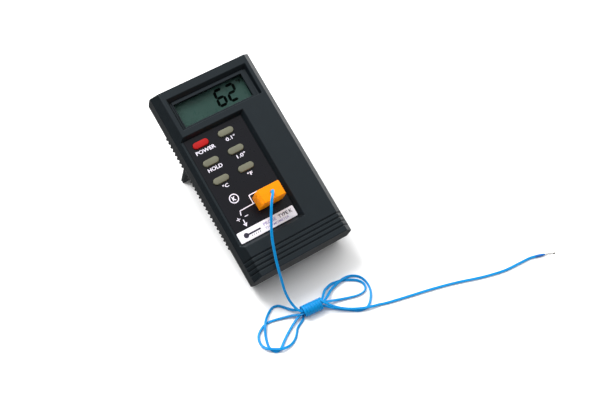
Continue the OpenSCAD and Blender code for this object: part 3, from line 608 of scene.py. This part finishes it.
def exposed_edges(bm, tree, turn, shut):
    """Edges sharper than turn that can be seen from outside the part, without those on the plane
    where it closes against another part: shut is an axis of the meter's frame and a place on it."""
    to_meter = METER.inverted()
    found = []
    for edge in bm.edges:
        if len(edge.link_faces) != 2 or edge.calc_face_angle(0) < turn:
            continue
        if edge.calc_length() < SHORTEST_EDGE:
            continue
        a, b = edge.verts
        if shut and all(abs((to_meter @ v.co)[shut[0]] - shut[1]) < ON_PLANE for v in (a, b)):
            continue
        out = (edge.link_faces[0].normal + edge.link_faces[1].normal).normalized()
        start = (a.co + b.co) / 2 + out * 0.05 * MM
        if tree.ray_cast(start, out)[0] is None:
            found.append(edge)
    return found


def finished(name, node, body, material, width, shut=None):
    """Copy of a CAD part's mesh with its outer edges rounded, which stands for that part."""
    bm = bmesh.new()
    bm.from_mesh(NODES[node].data)
    bmesh.ops.remove_doubles(bm, verts=bm.verts, dist=WELD)
    bmesh.ops.dissolve_limit(bm, angle_limit=math.radians(0.5), verts=bm.verts, edges=bm.edges)
    bm.normal_update()
    tree = BVHTree.FromBMesh(bm)
    edges = exposed_edges(bm, tree, math.radians(25), shut)
    bmesh.ops.bevel(bm, geom=edges, offset=width, offset_type="OFFSET", segments=2, profile=0.5,
                    affect="EDGES", clamp_overlap=False, miter_outer="SHARP", harden_normals=False)
    # a corner point thrown off the surface goes back on to it
    for vertex in bm.verts:
        near, _, _, away = tree.find_nearest(vertex.co)
        if away > 0.6 * width:
            vertex.co = near
    bmesh.ops.dissolve_degenerate(bm, dist=WELD, edges=bm.edges)
    mesh = to_mesh(bm, name, Matrix.Identity(4), 30, FLAT_AREA)
    return link(name, mesh, material, body, (node,))


# where the shells and the plug's halves close: an axis of the meter's frame, 0 to 2, and the place on it
HALF_GAP = 0.25 * MM
FRONT_RIM = (2, HALF_GAP)
REAR_RIM = (2, -HALF_GAP)
PLUG_JOINT = (1, (span("plug_base")[1].y + span("plug_cap")[0].y) / 2)
finished("front_shell", "front_case", "meter", CASE, 0.25 * MM, shut=FRONT_RIM)
finished("rear_shell", "rear_case", "meter", CASE_REAR, 0.2 * MM, shut=REAR_RIM)
finished("battery_door", "battery_cover", "battery_cover", CASE_REAR, 0.2 * MM)
finished("stand_leg", "tilt_stand", "tilt_stand", CASE, 0.3 * MM)
finished("plug_front_half", "plug_base", "plug", PLUG, 0.3 * MM, shut=PLUG_JOINT)
finished("plug_back_half", "plug_cap", "plug", PLUG, 0.3 * MM, shut=PLUG_JOINT)


# ---------- CAD parts that keep their shape ----------

KEPT = {
    "display_lens": LENS, "lcd_frame": BLACK, "lcd_glass": LCD, "zebra_strips": ZEBRA, "keypad_panel": PANEL,
    "keypad_mat": RUBBER, "circuit_board": BOARD, "main_chip": CHIP, "capacitors": CAPACITOR, "crystal": CAN,
    "trimmers": TRIMMER, "probe_socket": BLACK, "socket_contacts": CONTACT, "battery": BATTERY,
    "battery_snap": BLACK, "battery_lead_red": RED_WIRE, "battery_lead_black": BLACK_WIRE, "foam_pad": FOAM,
    "stand_pin": STEEL, "case_screws": STEEL, "board_screws": STEEL, "plug_blade_wide": BLADE,
    "plug_blade_narrow": BLADE, "plug_terminal_screws": BRASS, "plug_cap_screw": STEEL}
for node, material in KEPT.items():
    NODES[node].data.materials.clear()
    NODES[node].data.materials.append(material)


# ---------- keys ----------

# how far the flange lies below the meter's face, and its thickness
FLANGE_DEPTH = 5.6 * MM
FLANGE_T = 1.2 * MM


def build_key(node, material):
    """Key with a crowned cap, and the flange that keeps it behind the panel."""
    low, high = span(node)
    flange_in = 0.9 * MM
    cap_low = (low.x + flange_in, low.y + flange_in)
    cap_high = (high.x - flange_in, high.y - flange_in)
    r = (cap_high[1] - cap_low[1]) / 2 - 0.01 * MM
    bm = bmesh.new()
    eased_plate(bm, cap_low, cap_high, r, low.z, high.z - 0.05 * MM, 0.45 * MM, crown=0.1 * MM, steps=10,
                rings=5)
    flange_r = (high.y - low.y) / 2 - 0.01 * MM
    flange_top = span("front_case")[1].z - FLANGE_DEPTH
    eased_plate(bm, low, high, flange_r, flange_top - FLANGE_T, flange_top, 0.2 * MM, steps=10)
    link(node + "_cap", to_mesh(bm, node + "_cap", smooth_angle=40), material, node, (node,))


build_key("power_key", KEY_RED)
for key_name in ("hold_key", "celsius_key", "tenth_degree_key", "one_degree_key", "fahrenheit_key"):
    build_key(key_name, KEY_GREY)


# ---------- print on the keypad ----------

PRINT_T = 0.04 * MM
PRINT_SUNK = 0.3 * PRINT_T
panel_top = span("keypad_panel")[1].z
strip_low, strip_high = span("name_strip")


def flat_shape(bm, outline, z):
    """Thin plate with the given outline, sunk a little into the surface at z."""
    lower = [bm.verts.new((x, y, z - PRINT_SUNK)) for x, y in outline]
    upper = [bm.verts.new((x, y, z + PRINT_T)) for x, y in outline]
    count = len(outline)
    bm.faces.new(upper)
    bm.faces.new(list(reversed(lower)))
    for k in range(count):
        m = (k + 1) % count
        bm.faces.new((lower[k], lower[m], upper[m], upper[k]))


def stroke(bm, points, width, z):
    """Line of even width, as thin plates that overlap at its corners."""
    points = [Vector(p) for p in points]
    for a, b in zip(points, points[1:]):
        along = (b - a).normalized() * width / 2
        side = Vector((-along.y, along.x))
        flat_shape(bm, [a - along - side, b + along - side, b + along + side, a - along + side], z)


def ring(bm, centre, r, width, z, steps=36):
    """Ring of even width, or a disc where the width is r."""
    angles = [math.tau * k / steps for k in range(steps + 1)]
    for a, b in zip(angles, angles[1:]):
        quad = []
        for radius, angle in ((r, a), (r, b), (r - width, b), (r - width, a)):
            quad.append((centre[0] + radius * math.cos(angle), centre[1] + radius * math.sin(angle)))
        flat_shape(bm, list(reversed(quad)), z)


def lettering(bm, words, centre, size, z, weight):
    """Words in the plain built-in letterform, fitted to size = (width, height) about centre."""
    curve = bpy.data.curves.new("lettering", "FONT")
    curve.body = words
    curve.size = 1
    curve.offset = weight
    curve.extrude = 0.01
    curve.resolution_u = 4
    letters = bpy.data.objects.new("lettering", curve)
    mesh = bpy.data.meshes.new_from_object(letters)
    xs = [v.co.x for v in mesh.vertices]
    ys = [v.co.y for v in mesh.vertices]
    low, high = Vector((min(xs), min(ys))), Vector((max(xs), max(ys)))
    scale = (size[0] / (high.x - low.x), size[1] / (high.y - low.y))
    middle = (low + high) / 2
    for v in mesh.vertices:
        v.co = Vector((centre[0] + (v.co.x - middle.x) * scale[0], centre[1] + (v.co.y - middle.y) * scale[1],
                       z + (PRINT_T if v.co.z > 0 else -PRINT_SUNK)))
    bm.from_mesh(mesh)
    bpy.data.objects.remove(letters)
    bpy.data.curves.remove(curve)
    bpy.data.meshes.remove(mesh)


def build_keypad_print():
    """White print on the black panel; places and sizes are in millimetres in the meter's frame."""
    z = panel_top
    bm = bmesh.new()
    for words, centre, size in (
            ("POWER", (-21.2, 87.6), (13.4, 2.5)), ("HOLD", (-21.6, 74.7), (9.9, 2.5)),
            ("°C", (-21.5, 61.7), (4.0, 2.4)), ("0.1°", (-3.5, 87.6), (6.6, 2.5)),
            ("1.0°", (-3.1, 74.7), (6.1, 2.5)), ("°F", (-4.1, 61.7), (3.5, 2.4))):
        lettering(bm, words, (centre[0] * MM, centre[1] * MM), (size[0] * MM, size[1] * MM), z, weight=0.022)
    # bracket round the socket and its leader down to the strip
    line_w = 0.6 * MM
    stroke(bm, [(-3.0 * MM, 49.7 * MM), (-11.9 * MM, 49.7 * MM), (-11.9 * MM, 43.9 * MM)], line_w, z)
    stroke(bm, [(-11.5 * MM, 43.9 * MM), (-21.6 * MM, 43.6 * MM), (-22.4 * MM, 41.0 * MM)], line_w, z)
    stroke(bm, [(-22.6 * MM, 37.6 * MM), (-22.7 * MM, 34.6 * MM)], line_w, z)
    flat_shape(bm, [(-24.2 * MM, 35.4 * MM), (-22.7 * MM, 33.2 * MM), (-21.2 * MM, 35.4 * MM)], z)
    # polarity marks beside the leader
    for x in (-25.2, -19.6):
        stroke(bm, [((x - 1.0) * MM, 39.2 * MM), ((x + 1.0) * MM, 39.2 * MM)], 0.45 * MM, z)
    stroke(bm, [(-25.2 * MM, 38.2 * MM), (-25.2 * MM, 40.2 * MM)], 0.45 * MM, z)
    # probe type in a ring
    ring(bm, (-21.0 * MM, 52.2 * MM), 3.1 * MM, 0.6 * MM, z)
    lettering(bm, "K", (-21.0 * MM, 52.2 * MM), (2.3 * MM, 2.9 * MM), z, weight=0.03)
    link("keypad_print", to_mesh(bm, "keypad_print"), INK_WHITE, "meter")


def build_strip():
    """White strip with its generic sign and words."""
    bm = bmesh.new()
    eased_plate(bm, strip_low, strip_high, 0.8 * MM, strip_low.z, strip_high.z, 0.08 * MM, rings=3)
    link("name_strip_plate", to_mesh(bm, "name_strip_plate"), STRIP, "meter", ("name_strip",))
    z = strip_high.z
    middle = (strip_low.y + strip_high.y) / 2
    bm = bmesh.new()
    # plain thermometer sign: a bulb and a stem with graduations
    x = strip_low.x + 5.2 * MM
    ring(bm, (x, middle), 1.7 * MM, 1.7 * MM, z, steps=24)
    stroke(bm, [(x + 1.4 * MM, middle), (x + 9.5 * MM, middle)], 1.1 * MM, z)
    for k in range(5):
        tick = x + (3.4 + 1.4 * k) * MM
        stroke(bm, [(tick, middle - 1.2 * MM), (tick, middle - 2.0 * MM)], 0.3 * MM, z)
    upper_line = strip_high.y - 2.5 * MM
    lettering(bm, "TYPE K", (strip_high.x - 6.6 * MM, upper_line), (9.6 * MM, 2.2 * MM), z, weight=0.02)
    link("strip_print_dark", to_mesh(bm, "strip_print_dark"), INK_DARK, "meter")
    bm = bmesh.new()
    lettering(bm, "PROBE", (strip_low.x + 22.3 * MM, upper_line), (9.0 * MM, 2.1 * MM), z, weight=0.015)
    lettering(bm, "THERMOMETER", (strip_low.x + 26.3 * MM, strip_low.y + 2.0 * MM), (17.0 * MM, 1.5 * MM), z,
              weight=0.01)
    link("strip_print_pale", to_mesh(bm, "strip_print_pale"), INK_PALE, "meter")


build_keypad_print()
build_strip()


# ---------- display ----------

def build_segments():
    """Two large seven-bar digits and the small unit sign, on the display's surface."""
    z = span("lcd_glass")[1].z + 0.01 * MM
    bar, gap, height, width, slant = 1.75 * MM, 0.1 * MM, 12.3 * MM, 6.9 * MM, 0.1
    bm = bmesh.new()

    def leaning(x, y, points):
        return [(x + px + py * slant, y + py) for px, py in points]

    def digit(x, y, shown):
        half, mid, top = bar / 2, height / 2, height
        flats = {"a": top, "g": mid, "d": 0.0}
        for name, level in flats.items():
            if name not in shown:
                continue
            cy = min(max(level, half), top - half)
            x0, x1 = half + gap, width - half - gap
            flat_shape(bm, leaning(x, y, [(x0, cy), (x0 + half, cy - half), (x1 - half, cy - half), (x1, cy),
                                          (x1 - half, cy + half), (x0 + half, cy + half)]), z)
        for name, px, low, high in (("f", 0, mid, top), ("e", 0, 0, mid), ("b", width - bar, mid, top),
                                    ("c", width - bar, 0, mid)):
            if name not in shown:
                continue
            y0 = low + (half if low == 0 else 0) + gap
            y1 = high - (half if high == top else 0) - gap
            cx = px + half
            flat_shape(bm, leaning(x, y, [(cx, y0), (cx + half, y0 + half), (cx + half, y1 - half), (cx, y1),
                                          (cx - half, y1 - half), (cx - half, y0 + half)]), z)

    digit(0.8 * MM, 108.4 * MM, "afgcde")
    digit(9.0 * MM, 108.4 * MM, "abged")
    ring(bm, (19.6 * MM, 120.2 * MM), 0.6 * MM, 0.3 * MM, z, steps=16)
    lettering(bm, "F", (21.3 * MM, 119.2 * MM), (1.3 * MM, 2.3 * MM), z, weight=0.03)
    link("display_segments", to_mesh(bm, "display_segments"), SEGMENT, "meter")


build_segments()


# ---------- floor and light ----------

def build_floor():
    """The table, so white that it burns out as in the photo."""
    bm = bmesh.new()
    bmesh.ops.create_grid(bm, x_segments=1, y_segments=1, size=3)
    finish = Finish("floor", Roughness=0.7)
    finish.mottle(linear("#fafafa"), 0.004, 0.3)
    mesh = bpy.data.meshes.new("floor")
    bm.to_mesh(mesh)
    bm.free()
    mesh.materials.append(finish.material)
    floor = bpy.data.objects.new("floor", mesh)
    SCENE.collection.objects.link(floor)
    # the dark object mirrors the dim room in front of it, not the floor
    floor.visible_glossy = False


def area_light(name, place, aim, size, power):
    """Round soft lamp, size across in metres and power in watts."""
    data = bpy.data.lights.new(name, "AREA")
    data.shape = "DISK"
    data.size = size
    data.energy = power
    lamp = bpy.data.objects.new(name, data)
    lamp.location = place
    lamp.rotation_euler = (Vector(aim) - Vector(place)).to_track_quat("-Z", "Y").to_euler()
    SCENE.collection.objects.link(lamp)


def build_world(bright_side, low, high):
    """Tent that is bright towards bright_side and dim across from it, with a soft edge between."""
    world = bpy.data.worlds.new("studio")
    world.use_nodes = True
    nodes, links = world.node_tree.nodes, world.node_tree.links
    facing = nodes.new("ShaderNodeVectorMath")
    facing.operation = "DOT_PRODUCT"
    facing.inputs[1].default_value = Vector(bright_side).normalized()
    links.new(nodes.new("ShaderNodeTexCoord").outputs["Generated"], facing.inputs[0])
    fade = nodes.new("ShaderNodeMapRange")
    fade.inputs["From Min"].default_value = 0
    fade.inputs["From Max"].default_value = 0.45
    fade.inputs["To Min"].default_value = low
    fade.inputs["To Max"].default_value = high
    links.new(facing.outputs["Value"], fade.inputs["Value"])
    background = nodes["Background"]
    background.inputs["Color"].default_value = (1, 1, 1, 1)
    links.new(fade.outputs["Result"], background.inputs["Strength"])
    SCENE.world = world


build_floor()
area_light("key", place=(-0.3, 0.9, 1.4), aim=(0, 0, 0), size=0.9, power=26)
build_world(bright_side=(0.5, 1, 0.7), low=0.25, high=1.6)
SCENE.view_settings.view_transform = "Standard"
